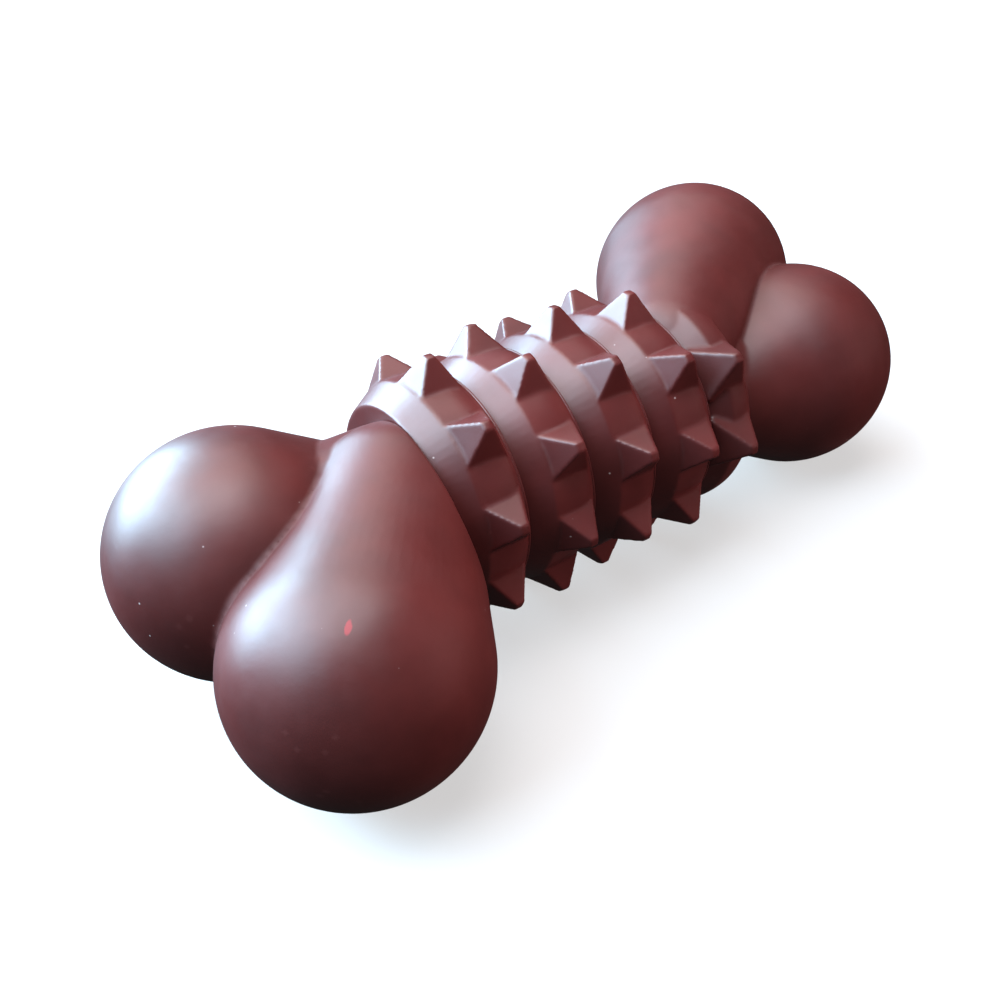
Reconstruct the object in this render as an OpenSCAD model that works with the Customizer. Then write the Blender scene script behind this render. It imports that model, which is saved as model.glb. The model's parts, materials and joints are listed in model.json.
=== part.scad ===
// Bone-shaped rubber chew toy. Four spiked rubber rings turn on a hard spindle, held between two
// solid rubber ends. Each end is a pair of teardrop knobs whose tails run together on a neck, which
// has a spiked hub at the right. The shaft lies along X, dipping a little to the right, with X = 0
// midway between the knob pairs, and the toy's lowest points are at Z = 0.

/* [Knobs] */
// Radius of each round knob
knob_r = 20.8; // [18:0.2:24]
// Distance of the middle of a knob pair from the middle of the toy
knob_reach = 60; // [54:0.5:64]
// Distance of a knob's centre from the middle of its pair
knob_spread = 15.3; // [13:0.1:18]
// Turn of each knob pair out of level, the two ends in opposite senses, in degrees
knob_turn = 5; // [0:0.5:10]
// Swing of each knob pair out of line with the shaft, in degrees
knob_skew = 9.9; // [0:0.1:12]
// Radius of a knob's narrow tail, where it runs in to the rings
tail_r = 13; // [10:0.5:14]
// Distance of a left-hand tail's centre from the face that the rings run on
left_tail_inset = 3; // [2:0.5:8]
// Distance of a left-hand tail's centre from the shaft's centre line, sideways
left_tail_spread = 3; // [1:0.5:5]
// Height of one left-hand tail's centre above the shaft; its neighbour's lies as far below
left_tail_lift = 6.5; // [5:0.5:9]
// Distance of the upper right-hand tail's centre from the face that the rings run on
upper_tail_inset = 7; // [2:0.5:8]
// Distance of the upper right-hand tail's centre from the shaft's centre line, sideways
upper_tail_spread = 1.5; // [1:0.5:5]
// Height of the upper right-hand tail's centre above the shaft
upper_tail_lift = 8.5; // [5:0.5:9]
// Distance of the lower right-hand tail's centre from the face that the rings run on
lower_tail_inset = 14; // [8:0.5:18]
// Distance of the lower right-hand tail's centre from the shaft's centre line, sideways
lower_tail_spread = 7; // [4:0.5:9]
// Depth of the lower right-hand tail's centre below the shaft
lower_tail_drop = 2.5; // [1:0.5:5]
// Radius of the plain neck that the tails of each end run on to
neck_r = 15; // [14.5:0.5:17]
// Length of the neck, from the ring face into the end
neck_l = 21; // [20.5:0.5:24]

/* [Spiked rings] */
// Distance from one ring to the next along the shaft
ring_pitch = 13.75; // [12:0.25:16]
// Gap between one ring and the next
ring_play = 0.3; // [0.2:0.05:0.6]
// Radius of a ring's land, the band that carries the spikes
land_r = 21; // [19.6:0.2:22]
// Radius of a ring at its left face, at the foot of the bevel
bevel_foot_r = 18.2; // [17:0.2:19]
// Width of the bevel, along the shaft
bevel_w = 4.6; // [3:0.2:6]
// Width of the rounded right-hand edge, along the shaft
crown_w = 4.2; // [2:0.2:5]
// Drop of the rounded right-hand edge below the land
crown_drop = 1.2; // [0.6:0.1:1.8]
// Width of the thin lip on the right-hand edge
lip_w = 0.5; // [0.3:0.1:0.8]
// Height of the thin lip
lip_h = 0.25; // [0.1:0.05:0.4]

/* [Spikes] */
// Number of spikes around a ring
spike_count = 9; // [7:1:10]
// Radius of the circle that the spike tips lie on
tip_r = 25.5; // [24.5:0.1:26.5]
// Radius at which a spike's four faces would meet in a point
sharp_r = 26.8; // [26.6:0.1:28.5]
// Width of a spike where it stands on the land, around the ring
spike_w = 7.4; // [6:0.2:9]
// Distance from a ring's bevel to the left-hand foot of its spikes, on the land
foot_gap = 0.4; // [0.3:0.1:1]
// Distance from a spike's right-hand foot, on the land, to the ring's right-hand face
spike_inset = 1.4; // [0.8:0.1:2]
// Distance from a spike's tip to the ring's right-hand face
tip_inset = 4.3; // [3.5:0.1:5]

/* [Right-hand hub] */
// Width of the spiked hub of the right-hand end
hub_w = 9.8; // [9:0.2:13]
// Distance from the hub's ring face to the foot of its spikes
hub_spike_foot = 1.5; // [1:0.5:3]

/* [Turn of the rings] */
// Turn of ring 1 from the top towards the front, in degrees
ring_1_turn = 21.4; // [0:0.1:40]
// Turn of ring 2
ring_2_turn = 1.2; // [0:0.1:40]
// Turn of ring 3
ring_3_turn = 16; // [0:0.1:40]
// Turn of ring 4
ring_4_turn = 25.7; // [0:0.1:40]
// Turn of the right-hand hub's first spike
hub_turn = 33; // [25:1:50]
// Roll of the whole toy as it lies on the ground, on two spikes and a knob, in degrees
lie_roll = 16; // [0:0.1:20]
// Dip of the shaft towards the right-hand end as the toy lies, in degrees
lie_dip = 1.7; // [0:0.1:3]

/* [Spindle] */
// Radius of the spindle that the rings turn on
stem_r = 8; // [6:0.5:10]
// Running clearance of a ring on the spindle, on the radius
ring_clearance = 0.06; // [0.02:0.01:0.1]
// Depth to which the spindle is moulded into the left end
anchor_depth = 19; // [16:0.5:19.5]
// Radius of the collars moulded into the rubber, across their corners
collar_r = 12.5; // [11:0.5:14]
// Thickness of a collar
collar_t = 3; // [2:0.5:4]
// Radius of the spindle's threaded tail
thread_r = 5.5; // [4:0.5:5.5]
// Length of the threaded tail
thread_l = 16; // [12:0.5:16]
// Chamfer at the threaded tail's tip
tail_chamfer = 1; // [0.5:0.1:1.5]
// Radius of the socket moulded into the right end
socket_r = 8.5; // [7.5:0.5:10]
// Thickness of the socket's closed bottom
socket_floor = 3; // [2:0.5:4]
// Clearance of the thread in its socket, on the radius
thread_clearance = 0.05; // [0.02:0.01:0.1]

/* [Hidden] */
$fn = 96;
ring_count = 4;
band_count = ring_count + 1;
stack_left = -band_count * ring_pitch / 2;
stack_right = stack_left + ring_count * ring_pitch;
ring_w = ring_pitch - ring_play;
ring_turns = [ring_1_turn, ring_2_turn, ring_3_turn, ring_4_turn];
spike_step = 360 / spike_count;
spike_root_r = land_r - 2 * crown_drop;
spike_splay = (sharp_r - spike_root_r) / (sharp_r - land_r);
hub_spike_count = 2;
left_tail = [left_tail_inset, left_tail_spread, left_tail_lift];
upper_tail = [upper_tail_inset, upper_tail_spread, upper_tail_lift];
lower_tail = [lower_tail_inset, lower_tail_spread, lower_tail_drop];
arc_steps = 30;
crown_steps = 6;
overrun = 1;
rubber_colour = [0.33, 0.17, 0.15];
nylon_colour = [0.88, 0.85, 0.78];

// Half the width that the trimming circle leaves across a spike's tip, as an angle
tip_half_angle = asin(spike_w / 2 * (sharp_r - tip_r) / (sharp_r - land_r) / tip_r);

// Position along the shaft of the left face of ring i, counted from 0 at the left
function ring_x(i) = stack_left + i * ring_pitch + ring_play / 2;

// Centre of a right-hand knob, on the +Y side (1) or the -Y side (-1)
function knob_centre(side) = let (across = knob_spread * cos(knob_turn)) [
    knob_reach * cos(knob_skew) - side * across * sin(knob_skew),
    knob_reach * sin(knob_skew) + side * across * cos(knob_skew),
    side * knob_spread * sin(knob_turn)];

// Height above the shaft's middle of a point at x along the shaft and z above it, with the toy lying
function lying_height(x, z) = z * cos(lie_dip) - x * sin(lie_dip);

// Lowest points of the rings' spikes and of the four knobs, with the toy lying
spike_feet = [for (i = [0:ring_count - 1]) for (k = [0:spike_count - 1])
    let (a = (ring_turns[i] + lie_roll + k * spike_step) % 360 - 180)
    lying_height(ring_x(i) + ring_w - tip_inset, -tip_r * cos(max(abs(a) - tip_half_angle, 0)))];
knob_feet = [for (side = [1, -1]) for (end = [1, -1])
    let (c = knob_centre(side)) lying_height(end * c[0], end * c[1] * sin(lie_roll) + c[2] * cos(lie_roll)) - knob_r];
// Height of the shaft's middle above the ground that the toy lies on
shaft_h = -min(concat(spike_feet, knob_feet));

// Turns a shape built along +Z to lie along the shaft, +X
module along_shaft(x = 0) {
    translate([x, 0, 0]) rotate([0, 90, 0]) children();
}

// Lifts the toy on to the ground, rolled and dipped as it comes to rest
module lying() {
    translate([0, 0, shaft_h]) rotate([lie_roll, lie_dip, 0]) children();
}

// Outline of a band, from its left face at 0 to its right face at w, as [radius, height]
function band_outline(w) = concat(
    [[0, 0], [bevel_foot_r, 0], [land_r, bevel_w]],
    [for (i = [0:crown_steps]) let (a = 90 * i / crown_steps)
        [land_r - crown_drop * (1 - cos(a)), w - lip_w - crown_w * (1 - sin(a))]],
    [[land_r - crown_drop + lip_h, w - lip_w], [land_r - crown_drop + lip_h, w], [0, w]]);

// One four-sided spike standing out along +X from a band of width w, rooted under its land, with
// its left foot at height foot
module spike(w, foot) {
    point = w - tip_inset;
    root_left = point - (point - foot) * spike_splay;
    root_right = point + (tip_inset - spike_inset) * spike_splay;
    root_w = spike_w * spike_splay;
    intersection() {
        rotate([90, 0, 0]) linear_extrude(root_w, center = true)
            polygon([[spike_root_r, root_left], [sharp_r, point], [spike_root_r, root_right]]);
        linear_extrude(w)
            polygon([[spike_root_r, -root_w / 2], [sharp_r, 0], [spike_root_r, root_w / 2]]);
        cylinder(r = tip_r, h = w);
    }
}

// A row of spikes on a band of width w, the first turned from the top towards the front
module spikes(w, foot, turn, count) {
    for (k = [0:count - 1])
        rotate([0, 0, 180 + turn + k * spike_step]) spike(w, foot);
}

// A ring before it is bored, spiked all round
module spiked_band(w, turn) {
    rotate_extrude() polygon(band_outline(w));
    spikes(w, bevel_w + foot_gap, turn, spike_count);
}

// The hub of the right-hand end, spiked only in front, where the two tails leave it bare
module hub() {
    rotate_extrude() polygon(band_outline(hub_w));
    spikes(hub_w, hub_spike_foot, hub_turn, hub_spike_count);
}

// Outline of a teardrop: a round of radius big at 0 and of radius small at a distance d along +Z,
// joined by the straight line that touches both
function teardrop_outline(big, small, d) = let (touch = acos((big - small) / d)) concat(
    [for (i = [0:arc_steps]) let (a = 180 - (180 - touch) * i / arc_steps) [big * sin(a), big * cos(a)]],
    [for (i = [0:arc_steps]) let (a = touch * (1 - i / arc_steps)) [small * sin(a), d + small * cos(a)]]);

// One teardrop knob of the +X end, on its +Y side (1) or its -Y side (-1), with its tail run in
// to the ring face; tail is [inset, spread, lift]
module knob(side, face, tail) {
    run = [face + tail[0], side * tail[1], side * tail[2]] - knob_centre(side);
    translate(knob_centre(side)) rotate([0, acos(run[2] / norm(run)), atan2(run[1], run[0])])
        rotate_extrude() polygon(teardrop_outline(knob_r, tail_r, norm(run)));
}

// Both knobs of the +X end, cut off at the face that the rings run on
module knob_pair(face, upper_tail, lower_tail) {
    difference() {
        union() {
            knob(1, face, upper_tail);
            knob(-1, face, lower_tail);
        }
        along_shaft() cylinder(r = knob_r + knob_spread, h = face);
    }
}

// A six-sided collar, which the rubber grips and can't turn on
module collar() {
    cylinder(r = collar_r, h = collar_t, $fn = 6);
}

// The part of the spindle that the left end is moulded round, from the ring face down into it
module anchor() {
    cylinder(r = stem_r, h = anchor_depth);
    translate([0, 0, anchor_depth - collar_t]) collar();
    translate([0, 0, (anchor_depth - collar_t) / 2]) collar();
}

// The outside of the socket, from the ring face up into the right end
module socket_body() {
    socket_l = thread_l + socket_floor;
    cylinder(r = socket_r, h = socket_l);
    translate([0, 0, socket_l - collar_t]) collar();
    translate([0, 0, (socket_l - collar_t) / 2]) collar();
}

module left_end() {
    color(rubber_colour) lying() difference() {
        union() {
            rotate([0, 0, 180]) knob_pair(-stack_left, left_tail, left_tail);
            along_shaft(stack_left - neck_l) cylinder(r = neck_r, h = neck_l);
        }
        mirror([1, 0, 0]) along_shaft(-stack_left) anchor();
    }
}

module right_end() {
    color(rubber_colour) lying() difference() {
        union() {
            knob_pair(stack_right, upper_tail, lower_tail);
            along_shaft(stack_right) hub();
            along_shaft(stack_right) cylinder(r = neck_r, h = neck_l);
        }
        along_shaft(stack_right) socket_body();
    }
}

// Ring number i, counted from 0 at the left
module ring(i) {
    color(rubber_colour) lying() along_shaft(ring_x(i)) difference() {
        spiked_band(ring_w, ring_turns[i]);
        translate([0, 0, -overrun]) cylinder(r = stem_r + ring_clearance, h = ring_w + 2 * overrun);
    }
}

module core_stem() {
    color(nylon_colour) lying() {
        mirror([1, 0, 0]) along_shaft(-stack_left) anchor();
        along_shaft(stack_left) cylinder(r = stem_r, h = stack_right - stack_left);
        along_shaft(stack_right) cylinder(r = thread_r, h = thread_l - tail_chamfer);
        along_shaft(stack_right + thread_l - tail_chamfer)
            cylinder(r1 = thread_r, r2 = thread_r - tail_chamfer, h = tail_chamfer);
    }
}

module socket_insert() {
    color(nylon_colour) lying() along_shaft(stack_right) difference() {
        socket_body();
        translate([0, 0, -overrun]) cylinder(r = thread_r + thread_clearance, h = thread_l + overrun);
    }
}

left_end();
right_end();
ring(0);  // ring_1
ring(1);  // ring_2
ring(2);  // ring_3
ring(3);  // ring_4
core_stem();
socket_insert();
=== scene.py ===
import json
import math
import bmesh
import bpy
import numpy as np
from mathutils import Matrix, Vector


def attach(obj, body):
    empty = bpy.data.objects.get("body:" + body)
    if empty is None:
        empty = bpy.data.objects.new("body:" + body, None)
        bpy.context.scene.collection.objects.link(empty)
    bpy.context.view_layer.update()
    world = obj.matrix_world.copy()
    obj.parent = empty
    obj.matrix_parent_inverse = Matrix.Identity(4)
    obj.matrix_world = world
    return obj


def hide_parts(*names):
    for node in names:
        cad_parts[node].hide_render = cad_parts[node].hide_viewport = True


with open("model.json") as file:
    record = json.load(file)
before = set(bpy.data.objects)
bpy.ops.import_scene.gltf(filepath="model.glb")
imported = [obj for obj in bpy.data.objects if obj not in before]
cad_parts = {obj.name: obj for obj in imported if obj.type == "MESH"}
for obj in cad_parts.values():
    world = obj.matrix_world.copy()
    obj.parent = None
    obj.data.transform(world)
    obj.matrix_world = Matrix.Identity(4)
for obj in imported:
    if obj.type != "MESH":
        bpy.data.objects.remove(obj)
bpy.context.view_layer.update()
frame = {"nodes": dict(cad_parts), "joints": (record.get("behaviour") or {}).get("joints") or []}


# The left end: one solid rubber moulding, two teardrop knobs that run together on a short neck.
# It is compression moulded in one shot round the buried end of the spindle, so its only edges are
# the flat face that the rings run on and the soft valley between the knobs.
mm = 0.001
knob_radius = 20.8 * mm
knob_reach = 60 * mm
knob_spread = 15.3 * mm
knob_turn = math.radians(5)
knob_swing = math.radians(9.9)
toy_roll = math.radians(16)
weld_gap = 0.002 * mm
left_grain = 0.42 * mm
left_rubs, left_rub_share = 2, 0.5
valley_width = 1.0 * mm
valley_start = 36 * mm
valley_fade = 8 * mm
valley_rubs, valley_rub_share = 2, 0.6
deep_brown = (0.048, 0.0074, 0.0068)
warm_brown = (0.080, 0.0132, 0.0122)
end_shine = 0.45

shaft_joint = frame["joints"][0]
shaft_run = Vector(shaft_joint["axis"])
shaft_point = Vector(shaft_joint["pos_m"])
shaft_height = (shaft_point - shaft_run * (shaft_point.x / shaft_run.x)).z
toy_dip = math.atan2(-shaft_run.z, shaft_run.x)
toy_lies = (Matrix.Translation((0, 0, shaft_height)) @ Matrix.Rotation(toy_dip, 4, "Y")
            @ Matrix.Rotation(toy_roll, 4, "X"))


def knob_middle(end, side):
    """Middle of a knob as the toy lies. End 1 is the right one, side 1 its upper knob."""
    across = knob_spread * math.cos(knob_turn)
    x = knob_reach * math.cos(knob_swing) - side * across * math.sin(knob_swing)
    y = knob_reach * math.sin(knob_swing) + side * across * math.cos(knob_swing)
    return toy_lies @ Vector((end * x, end * y, side * knob_spread * math.sin(knob_turn)))


def rub_down(points, edges, rounds, share, how_much=1.0):
    """Draws each point towards its neighbours, as a worn mould leaves its edges."""
    count = len(points)
    touching = np.bincount(edges.ravel(), minlength=count).clip(1)[:, None]
    for _ in range(rounds):
        pull = np.empty_like(points)
        for axis in range(3):
            ends = points[edges[:, ::-1], axis].ravel()
            pull[:, axis] = np.bincount(edges.ravel(), weights=ends, minlength=count)
        points += (pull / touching - points) * share * how_much
    return points


def evenly_meshed(piece, grain):
    """Makes one even, fine-meshed skin of a form, ready to be rubbed down."""
    bpy.context.scene.collection.objects.link(piece)
    weld = piece.modifiers.new("weld", "WELD")
    weld.merge_threshold = weld_gap
    even = piece.modifiers.new("even", "REMESH")
    even.mode = "VOXEL"
    even.voxel_size = grain
    even.use_smooth_shade = True
    bpy.context.view_layer.update()
    evened = piece.evaluated_get(bpy.context.evaluated_depsgraph_get())
    skin = bpy.data.meshes.new_from_object(evened)
    piece.modifiers.clear()
    piece.data = skin
    return piece


def moulded_copy(node, name, grain):
    """The same for a copy of a CAD node's shape."""
    return evenly_meshed(bpy.data.objects.new(name, frame["nodes"][node].data.copy()), grain)


def points_and_edges(piece):
    points = np.empty(len(piece.data.vertices) * 3)
    piece.data.vertices.foreach_get("co", points)
    edges = np.empty(len(piece.data.edges) * 2, np.int64)
    piece.data.edges.foreach_get("vertices", edges)
    return points.reshape(-1, 3), edges.reshape(-1, 2)


def put_back(piece, points, finish):
    piece.data.vertices.foreach_set("co", points.ravel())
    piece.data.polygons.foreach_set("use_smooth", [True] * len(piece.data.polygons))
    piece.data.materials.clear()
    piece.data.materials.append(finish)
    piece.data.update()


def soften_valley(points, edges, end):
    """Rounds the valley between the two knobs of an end, and no other place."""
    one, other = (np.array(knob_middle(end, side)) for side in (1, -1))
    off = np.linalg.norm(points - one, axis=1) - np.linalg.norm(points - other, axis=1)
    outward = end * (points @ np.array(shaft_run)) - valley_start
    near = np.exp(-(off / valley_width) ** 2) * np.clip(outward / valley_fade, 0, 1)
    return rub_down(points, edges, valley_rubs, valley_rub_share, near[:, None])


def new_finish(name):
    finish = bpy.data.materials.new(name)
    finish.use_nodes = True
    return finish, finish.node_tree, finish.node_tree.nodes["Principled BSDF"]


def add(tree, kind, place, **values):
    """Adds a node. Each value is a setting of the node, or goes to its socket of that name."""
    node = tree.nodes.new(kind)
    node.location = place
    for key, value in values.items():
        if hasattr(node, key):
            setattr(node, key, value)
        else:
            node.inputs[key.replace("_", " ")].default_value = value
    return node


def pattern(tree, kind, space, place, **values):
    """A texture laid out in the toy's own space."""
    node = add(tree, kind, place, **values)
    tree.links.new(space.outputs["Object"], node.inputs["Vector"])
    return node


def remap(tree, source, place, low, high, to_low, to_high):
    """Stretches what lies between low and high to the new pair of values."""
    node = add(tree, "ShaderNodeMapRange", place, From_Min=low, From_Max=high,
               To_Min=to_low, To_Max=to_high)
    tree.links.new(source, node.inputs["Value"])
    return node.outputs["Result"]


def laid_over(tree, under, colour, share, place):
    """Lays one plain colour over what is there, where share says so."""
    under_socket, over_socket, result_socket = 6, 7, 2
    node = add(tree, "ShaderNodeMix", place, data_type="RGBA")
    node.inputs[over_socket].default_value = (*colour, 1)
    tree.links.new(share, node.inputs[0])
    tree.links.new(under, node.inputs[under_socket])
    return node.outputs[result_socket]


def bump(tree, height, place, strength, depth):
    node = add(tree, "ShaderNodeBump", place, Strength=strength, Distance=depth)
    tree.links.new(height, node.inputs["Height"])
    return node


def brown_rubber(name, deep, warm, shine):
    """Satin natural rubber, pigmented red-brown: soft cloudy pigment, a grey bloom on worn ridges,
    painted shade that darkens the valleys, which are also made matt, a fine pebbled skin, and a
    few specks of pale dust on it."""
    worn_grey = (0.13, 0.040, 0.038)
    # Near black, laid into the valleys and creases as painted shade.
    valley_shade = (0.008, 0.002, 0.002)
    pale_dust = (0.52, 0.46, 0.45)
    finish, tree, skin = new_finish(name)
    link = tree.links.new
    skin.inputs["Specular IOR Level"].default_value = 0.5
    space = add(tree, "ShaderNodeTexCoord", (-1500, 0))
    bend = add(tree, "ShaderNodeNewGeometry", (-1250, 0)).outputs["Pointiness"]

    clouds = pattern(tree, "ShaderNodeTexNoise", space, (-1250, 300),
                     Scale=42.0, Detail=4.0, Roughness=0.55)
    pigment = add(tree, "ShaderNodeValToRGB", (-1020, 300))
    for stop, place, colour in zip(pigment.color_ramp.elements, (0.34, 0.68), (deep, warm)):
        stop.position = place
        stop.color = (*colour, 1)
    link(clouds.outputs["Fac"], pigment.inputs["Fac"])
    ridges = remap(tree, bend, (-1020, 60), 0.53, 0.66, 0.0, 0.18)
    valleys = remap(tree, bend, (-1020, -180), 0.38, 0.49, 0.6, 0.0)
    dust = pattern(tree, "ShaderNodeTexVoronoi", space, (-1020, -420), Scale=170.0)
    specks = remap(tree, dust.outputs["Distance"], (-760, -420), 0.015, 0.034, 0.6, 0.0)
    worn = laid_over(tree, pigment.outputs["Color"], worn_grey, ridges, (-760, 260))
    # Painted shade: the valleys and creases are darkened towards near black.
    valley_shaded = laid_over(tree, worn, valley_shade, valleys, (-560, 260))
    dusty = laid_over(tree, valley_shaded, pale_dust, specks, (-340, 260))
    link(dusty, skin.inputs["Base Color"])

    patches = pattern(tree, "ShaderNodeTexNoise", space, (-760, -640),
                      Scale=95.0, Detail=5.0, Roughness=0.6)
    gloss = remap(tree, patches.outputs["Fac"], (-560, -640), 0.3, 0.7, shine - 0.05, shine + 0.07)
    matt = remap(tree, bend, (-560, -860), 0.455, 0.496, 0.5, 0.0)
    dulled = add(tree, "ShaderNodeMath", (-340, -560), operation="ADD", use_clamp=True)
    link(gloss, dulled.inputs[0])
    link(matt, dulled.inputs[1])
    link(dulled.outputs[0], skin.inputs["Roughness"])

    pebble = pattern(tree, "ShaderNodeTexNoise", space, (-760, -900),
                     Scale=2100.0, Detail=3.0, Roughness=0.6)
    ripple = pattern(tree, "ShaderNodeTexNoise", space, (-760, -1140), Scale=150.0, Detail=2.0)
    fine = bump(tree, pebble.outputs["Fac"], (-340, -760), 0.16, 0.06 * mm)
    broad = bump(tree, ripple.outputs["Fac"], (-140, -760), 0.18, 0.35 * mm)
    link(fine.outputs["Normal"], broad.inputs["Normal"])
    link(broad.outputs["Normal"], skin.inputs["Normal"])
    return finish


left_rubber = brown_rubber("left_end_rubber", deep_brown, warm_brown, end_shine)
left_knobs = moulded_copy("left_end", "left_knobs", left_grain)
left_points, left_edges = points_and_edges(left_knobs)
left_points = soften_valley(left_points, left_edges, -1)
left_points = rub_down(left_points, left_edges, left_rubs, left_rub_share)
put_back(left_knobs, left_points, left_rubber)
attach(left_knobs, "bone")
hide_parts("left_end")


# The red fleck: a chip of bright red rubber that was left in the batch and shows in the skin of
# the front left knob, a little above its middle. It is flush, so it is in the rubber's colour.
fleck_red = (0.21, 0.008, 0.014)
fleck_half_long = 1.25 * mm
fleck_half_wide = 0.6 * mm
fleck_depth = 2 * mm
fleck_way = Vector((-0.20, -0.472, 0.859)).normalized()
fleck_at = knob_middle(-1, 1) + fleck_way * knob_radius
fleck_up = Vector((0.65, 0.75, 0.17))
fleck_up = (fleck_up - fleck_way * fleck_up.dot(fleck_way)).normalized()
fleck_across = fleck_way.cross(fleck_up)

tree = left_rubber.node_tree
space = add(tree, "ShaderNodeTexCoord", (-500, 700))
from_fleck = add(tree, "ShaderNodeVectorMath", (-300, 700), operation="SUBTRACT")
from_fleck.inputs[1].default_value = fleck_at
tree.links.new(space.outputs["Object"], from_fleck.inputs[0])
ragged = pattern(tree, "ShaderNodeTexNoise", space, (-140, 900), Scale=1300.0, Detail=2.0)
off_fleck = ragged.outputs["Fac"]
for step, (way, reach) in enumerate(((fleck_up, fleck_half_long), (fleck_across, fleck_half_wide),
                                     (fleck_way, fleck_depth))):
    part = add(tree, "ShaderNodeVectorMath", (20 + 160 * step, 600), operation="DOT_PRODUCT")
    part.inputs[1].default_value = way / reach
    tree.links.new(from_fleck.outputs["Vector"], part.inputs[0])
    so_far = add(tree, "ShaderNodeMath", (20 + 160 * step, 800), operation="MULTIPLY_ADD")
    tree.links.new(part.outputs["Value"], so_far.inputs[0])
    tree.links.new(part.outputs["Value"], so_far.inputs[1])
    tree.links.new(off_fleck, so_far.inputs[2])
    off_fleck = so_far.outputs[0]
chip = remap(tree, off_fleck, (500, 800), 0.95, 1.35, 0.9, 0.0)
left_colour = tree.nodes["Principled BSDF"].inputs["Base Color"]
flecked = laid_over(tree, left_colour.links[0].from_socket, fleck_red, chip, (660, 600))
tree.links.new(flecked, left_colour)


# The right end: the same rubber and mould, but its neck carries a narrow hub with two spikes in
# front, beside the last ring. The lower knob is rounder than its neighbour: its tail is slim, and
# leaves a dark hollow between knob and hub. It is moulded in one round the buried socket.
right_grain = 0.34 * mm
right_rubs, right_rub_share = 3, 0.45
face_trim = 0.02 * mm
hub_start = 20.625 * mm
hub_wide = 9.8 * mm
land_radius = 21 * mm
bevel_foot = 18.2 * mm
bevel_wide = 4.6 * mm
crown_wide = 4.2 * mm
crown_drop = 1.2 * mm
crown_steps = 6
hub_lip_wide = 0.5 * mm
hub_lip_high = 0.25 * mm
neck_outline = [(0, 0), (0, 15 * mm), (19 * mm, 13 * mm), (21 * mm, 10 * mm), (21 * mm, 0)]
spike_root = 18.6 * mm
spike_tip = 25.5 * mm
spike_point = 26.8 * mm
spike_width = 7.4 * mm
spike_left_foot = 1.5 * mm
spike_right_foot = hub_wide - 1.4 * mm
spike_tip_at = hub_wide - 4.3 * mm
spike_turns = (math.radians(33), math.radians(73))


def toy_point(x, y, z):
    return Vector((x * mm, y * mm, z * mm))


upper_tail, upper_tail_radius = toy_point(27.6, 3.0, 9.6), 11.6 * mm
lower_tail, lower_tail_radius = toy_point(38.0, -3.5, -1.0), 11.0 * mm
lower_knob_shift = toy_point(-1.9, 1.33, 0.1)


def lathe(form, start, way, outline):
    """A closed round form about a line: outline is a list of (place along the line, radius)."""
    stations = 120
    on_line = 0.001 * mm
    turn = way.normalized().to_track_quat("X", "Z").to_matrix()
    rows = []
    for along, radius in outline:
        if radius < on_line:
            rows.append([form.verts.new(start + turn @ Vector((along, 0, 0)))])
            continue
        angles = (2 * math.pi * k / stations for k in range(stations))
        rim = (Vector((along, radius * math.cos(a), radius * math.sin(a))) for a in angles)
        rows.append([form.verts.new(start + turn @ point) for point in rim])
    for near, far in zip(rows, rows[1:]):
        for k in range(stations):
            n = (k + 1) % stations
            if len(near) == 1:
                form.faces.new((near[0], far[k], far[n]))
            elif len(far) == 1:
                form.faces.new((near[k], far[0], near[n]))
            else:
                form.faces.new((near[k], far[k], far[n], near[n]))


def teardrop(form, knob, tail, big, small):
    """A round knob that narrows to a round tail."""
    run = (tail - knob).length
    touch = math.acos((big - small) / run)
    steps = 28
    knob_arc = [(big * math.cos(a), big * math.sin(a))
                for a in (math.pi - (math.pi - touch) * i / steps for i in range(steps + 1))]
    tail_arc = [(run + small * math.cos(a), small * math.sin(a))
                for a in (touch * (1 - i / steps) for i in range(steps + 1))]
    knob_arc[0] = (-big, 0.0)
    tail_arc[-1] = (run + small, 0.0)
    lathe(form, knob, tail - knob, knob_arc + tail_arc)


def spike(form, start, turn_from_top, left_foot, right_foot, tip):
    """A blunt four-sided spike on a band that starts at a point of the shaft's line."""
    splay = (spike_point - spike_root) / (spike_point - land_radius)
    taper = (spike_point - spike_tip) / (spike_point - spike_root)
    out = Vector((0, -math.sin(turn_from_top), math.cos(turn_from_top)))
    side = Vector((0, math.cos(turn_from_top), math.sin(turn_from_top)))
    corners = []
    for radius, share in ((spike_root, 1.0), (spike_tip, taper)):
        left = max(tip - (tip - left_foot) * splay * share, 0.0)
        right = tip + (right_foot - tip) * splay * share
        half = spike_width / 2 * splay * share
        for x, y in ((left, -half), (right, -half), (right, half), (left, half)):
            corners.append(form.verts.new(start + Vector((x, 0, 0)) + out * radius + side * y))
    form.faces.new(corners[3::-1])
    form.faces.new(corners[4:])
    for k in range(4):
        n = (k + 1) % 4
        form.faces.new((corners[k], corners[n], corners[4 + n], corners[4 + k]))


def made_from(form, name):
    """Turns finished mesh work into an object, which isn't in the scene yet."""
    mesh = bpy.data.meshes.new(name)
    form.to_mesh(mesh)
    form.free()
    return bpy.data.objects.new(name, mesh)


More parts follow.
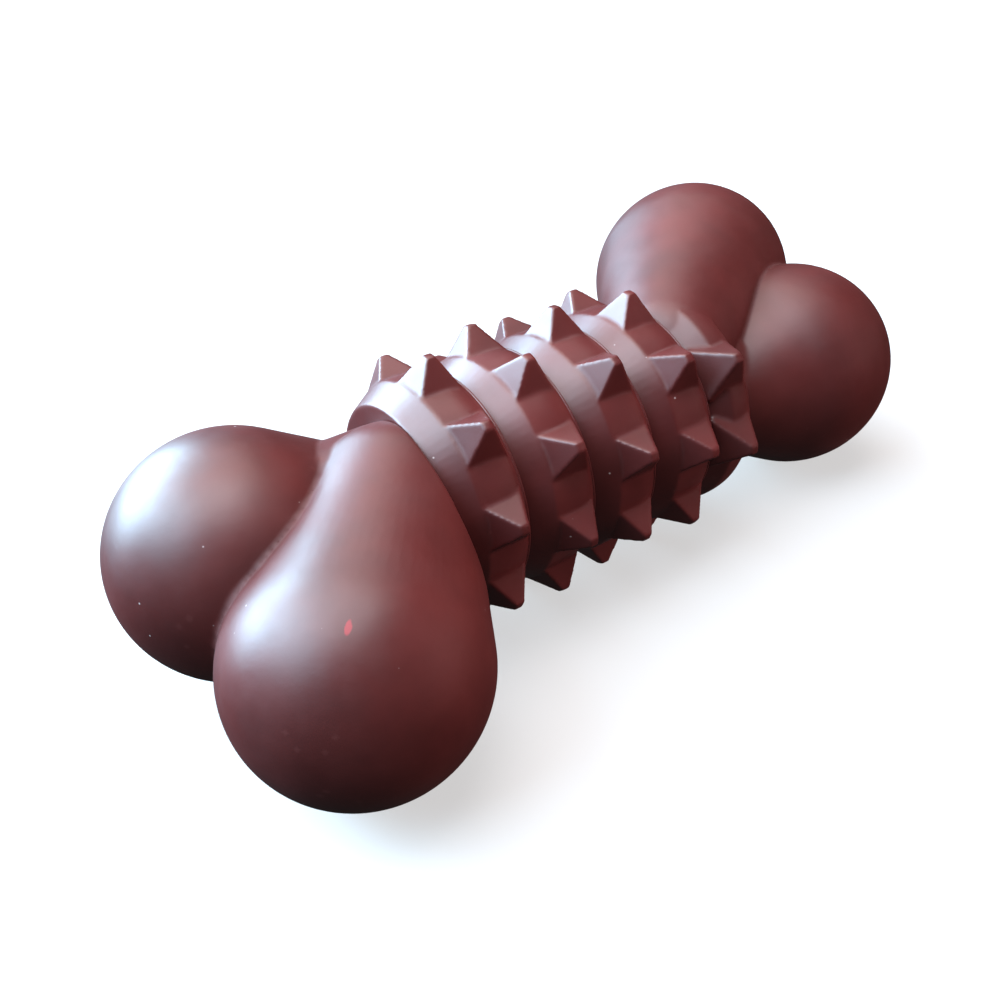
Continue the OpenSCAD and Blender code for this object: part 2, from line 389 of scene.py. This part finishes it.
right_form = bmesh.new()
upper_knob = toy_lies.inverted() @ knob_middle(1, 1)
lower_knob = toy_lies.inverted() @ (knob_middle(1, -1) + lower_knob_shift)
teardrop(right_form, upper_knob, upper_tail, knob_radius, upper_tail_radius)
teardrop(right_form, lower_knob, lower_tail, knob_radius, lower_tail_radius)
hub_at = Vector((hub_start, 0, 0))
along_shaft = Vector((1, 0, 0))
crown_end = hub_wide - hub_lip_wide
lip_top = land_radius - crown_drop + hub_lip_high
crown = [(crown_end - crown_wide * (1 - math.sin(a)), land_radius - crown_drop * (1 - math.cos(a)))
         for a in (math.pi / 2 * i / crown_steps for i in range(crown_steps + 1))]
lathe(right_form, hub_at, along_shaft, [(0, 0), (0, bevel_foot), (bevel_wide, land_radius)] + crown
      + [(crown_end, lip_top), (hub_wide, lip_top), (hub_wide, 0)])
lathe(right_form, hub_at, along_shaft, neck_outline)
for turn in spike_turns:
    spike(right_form, hub_at, turn, spike_left_foot, spike_right_foot, spike_tip_at)
bmesh.ops.transform(right_form, matrix=toy_lies, verts=right_form.verts)
bmesh.ops.recalc_face_normals(right_form, faces=right_form.faces)

right_rubber = brown_rubber("right_end_rubber", deep_brown, warm_brown, end_shine)
right_knobs = evenly_meshed(made_from(right_form, "right_knobs"), right_grain)
right_points, right_edges = points_and_edges(right_knobs)
ring_face = hub_start + face_trim
behind_face = (right_points - np.array(toy_lies.translation)) @ np.array(shaft_run) - ring_face
right_points -= np.minimum(behind_face, 0)[:, None] * np.array(shaft_run)
right_points = rub_down(right_points, right_edges, right_rubs, right_rub_share)
put_back(right_knobs, right_points, right_rubber)
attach(right_knobs, "bone")
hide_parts("right_end")


# The four rings: each a separate rubber moulding, bevelled at its left, with a crown of nine blunt
# four-sided spikes, and a thin lip of flash where its right-hand mould half closed. They are
# slipped on the spindle one by one and left free to turn.
ring_grain = 0.3 * mm
ring_rubs, ring_rub_share = 2, 0.45
ring_shine = 0.40
lip_radius = 19.93 * mm
lip_thick = 0.24 * mm
lip_inset = 0.28 * mm
ring_rubber = brown_rubber("ring_rubber", (0.050, 0.0074, 0.0070), (0.084, 0.0134, 0.0126),
                           ring_shine)


def flash_lip(name, centre, run):
    """A thin round bead, where a ring's mould halves meet."""
    form = bmesh.new()
    stations, around = 192, 8
    turn = run.to_track_quat("X", "Z").to_matrix()
    rows = []
    for i in range(stations):
        a = 2 * math.pi * i / stations
        out = turn @ Vector((0, math.cos(a), math.sin(a)))
        rows.append([form.verts.new(centre + out * (lip_radius + lip_thick * math.cos(b))
                                    + run * (lip_thick * math.sin(b)))
                     for b in (2 * math.pi * k / around for k in range(around))])
    for i in range(stations):
        here, there = rows[i], rows[(i + 1) % stations]
        for k in range(around):
            n = (k + 1) % around
            form.faces.new((here[k], there[k], there[n], here[n]))
    bmesh.ops.recalc_face_normals(form, faces=form.faces)
    lip = made_from(form, name)
    bpy.context.scene.collection.objects.link(lip)
    return lip


for number in (1, 2, 3, 4):
    ring = moulded_copy(f"ring_{number}", f"spiked_ring_{number}", ring_grain)
    points, edges = points_and_edges(ring)
    points = rub_down(points, edges, ring_rubs, ring_rub_share)
    put_back(ring, points, ring_rubber)
    middle = Vector(frame["joints"][number - 1]["pos_m"])
    right_face = ((points - np.array(middle)) @ np.array(shaft_run)).max()
    lip_at = middle + shaft_run * (right_face - lip_inset)
    lip = flash_lip(f"flash_lip_{number}", lip_at, shaft_run)
    put_back(lip, points_and_edges(lip)[0], ring_rubber)
    for piece in (ring, lip):
        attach(piece, f"ring_{number}")
        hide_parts(f"ring_{number}")


# The spindle and its socket: natural nylon, turned or moulded and then buried in the rubber. Only
# slivers of the shaft can be seen between the rings. They keep the CAD's own shapes.
nylon_shade = (0.62, 0.56, 0.45)
nylon_light = (0.76, 0.71, 0.60)
nylon, tree, nylon_skin = new_finish("natural_nylon")
link = tree.links.new
nylon_skin.inputs["Subsurface Weight"].default_value = 0.15
nylon_skin.inputs["Subsurface Scale"].default_value = 2 * mm
space = add(tree, "ShaderNodeTexCoord", (-900, 0))
clouds = pattern(tree, "ShaderNodeTexNoise", space, (-700, 100), Scale=120.0, Detail=4.0)
tone = add(tree, "ShaderNodeValToRGB", (-480, 100))
for stop, colour in zip(tone.color_ramp.elements, (nylon_shade, nylon_light)):
    stop.color = (*colour, 1)
link(clouds.outputs["Fac"], tone.inputs["Fac"])
link(tone.outputs["Color"], nylon_skin.inputs["Base Color"])
nylon_gloss = remap(tree, clouds.outputs["Fac"], (-480, -160), 0.0, 1.0, 0.36, 0.5)
link(nylon_gloss, nylon_skin.inputs["Roughness"])
turning_marks = pattern(tree, "ShaderNodeTexWave", space, (-700, -300),
                        Scale=900.0, Distortion=0.6)
marked = bump(tree, turning_marks.outputs["Fac"], (-260, -300), 0.15, 0.05 * mm)
link(marked.outputs["Normal"], nylon_skin.inputs["Normal"])
for inner in ("core_stem", "socket_insert"):
    piece = frame["nodes"][inner]
    if not piece.data.materials:
        piece.data.materials.append(nylon)
    for slot in piece.material_slots:
        slot.material = nylon


# The place it lies in: a plain pale floor and backdrop, under a big cool window on the left behind
# the toy, with a warm ceiling over it and a warm fill from the right. The floor is kept out of the
# rubber's reflections, so that the toy's underside stays dark.
floor_half = 3.0
floor_glow = 0.55
backdrop_grey = (0.64, 0.645, 0.65)
floor_form = bmesh.new()
bmesh.ops.create_grid(floor_form, x_segments=2, y_segments=2, size=floor_half)
floor = made_from(floor_form, "floor")
bpy.context.scene.collection.objects.link(floor)
paper, tree, paper_skin = new_finish("pale_paper")
paper_skin.inputs["Base Color"].default_value = (0.20, 0.20, 0.20, 1)
paper_skin.inputs["Emission Color"].default_value = (1, 1, 1, 1)
paper_skin.inputs["Emission Strength"].default_value = floor_glow
paper_skin.inputs["Roughness"].default_value = 0.9
floor.data.materials.append(paper)
floor.visible_diffuse = False
floor.visible_glossy = False

world = bpy.data.worlds.new("studio")
world.use_nodes = True
tree = world.node_tree
link = tree.links.new
room = tree.nodes["Background"]
room.inputs["Color"].default_value = (1.0, 0.95, 0.93, 1)
room.inputs["Strength"].default_value = 0.19
mirrored_room = add(tree, "ShaderNodeBackground", (0, -200), Strength=0.04)
mirrored_room.inputs["Color"].default_value = (0.93, 0.96, 1.0, 1)
backdrop = add(tree, "ShaderNodeBackground", (0, -400))
backdrop.inputs["Color"].default_value = (*backdrop_grey, 1)
kind_of_ray = add(tree, "ShaderNodeLightPath", (-200, 400))
lit = add(tree, "ShaderNodeMixShader", (200, 0))
link(kind_of_ray.outputs["Is Glossy Ray"], lit.inputs[0])
link(room.outputs[0], lit.inputs[1])
link(mirrored_room.outputs[0], lit.inputs[2])
seen = add(tree, "ShaderNodeMixShader", (400, 0))
link(kind_of_ray.outputs["Is Camera Ray"], seen.inputs[0])
link(lit.outputs[0], seen.inputs[1])
link(backdrop.outputs[0], seen.inputs[2])
link(seen.outputs[0], tree.nodes["World Output"].inputs["Surface"])
bpy.context.scene.world = world

toy_heart = Vector((0, 0, 0.03))
cool_blue = (0.50, 0.79, 1.0)
sky_blue = (0.54, 0.80, 1.0)
near_white = (0.85, 0.90, 1.0)
warm_white = (1.0, 0.86, 0.81)
warm_pink = (1.0, 0.82, 0.82)


def softbox(name, way, far, size, colour, watts):
    """A flat soft light that faces the toy: which way it is, how far off, and how big."""
    lamp = bpy.data.lights.new(name, "AREA")
    lamp.shape = "RECTANGLE"
    lamp.size, lamp.size_y = size
    lamp.color = colour
    lamp.energy = watts
    holder = bpy.data.objects.new(name, lamp)
    holder.location = Vector(way).normalized() * far + toy_heart
    holder.rotation_euler = Vector(way).to_track_quat("Z", "Y").to_euler()
    bpy.context.scene.collection.objects.link(holder)
    return holder


softbox("window", (-0.42, 0.82, 0.38), 1.6, (1.5, 1.1), cool_blue, 172.0)
softbox("skylight", (-0.65, 0.22, 0.72), 1.6, (1.2, 1.0), sky_blue, 60.0)
softbox("overhead", (-0.06, -0.03, 0.30), 0.34, (0.22, 0.22), near_white, 1.0)
softbox("ceiling", (-0.05, 0.36, 1.0), 1.6, (2.0, 1.9), warm_white, 48.0)
fill = softbox("fill", (0.80, -0.55, 0.22), 1.6, (1.3, 0.9), warm_pink, 34.0)
fill.visible_glossy = False

camera_data = bpy.data.cameras.new("camera")
camera_data.lens = 37.48
camera_data.sensor_width = 36.0
camera = bpy.data.objects.new("camera", camera_data)
camera.location = (-0.09836, -0.12995, 0.13164)
looks_at = Vector((-0.01909, -0.00889, 0.02550))
camera_roll = math.radians(-3.84)
camera.rotation_euler = ((looks_at - camera.location).to_track_quat("-Z", "Y").to_matrix()
                         @ Matrix.Rotation(camera_roll, 3, "Z")).to_euler()
bpy.context.scene.collection.objects.link(camera)
bpy.context.scene.camera = camera
bpy.context.scene.view_settings.view_transform = "Standard"
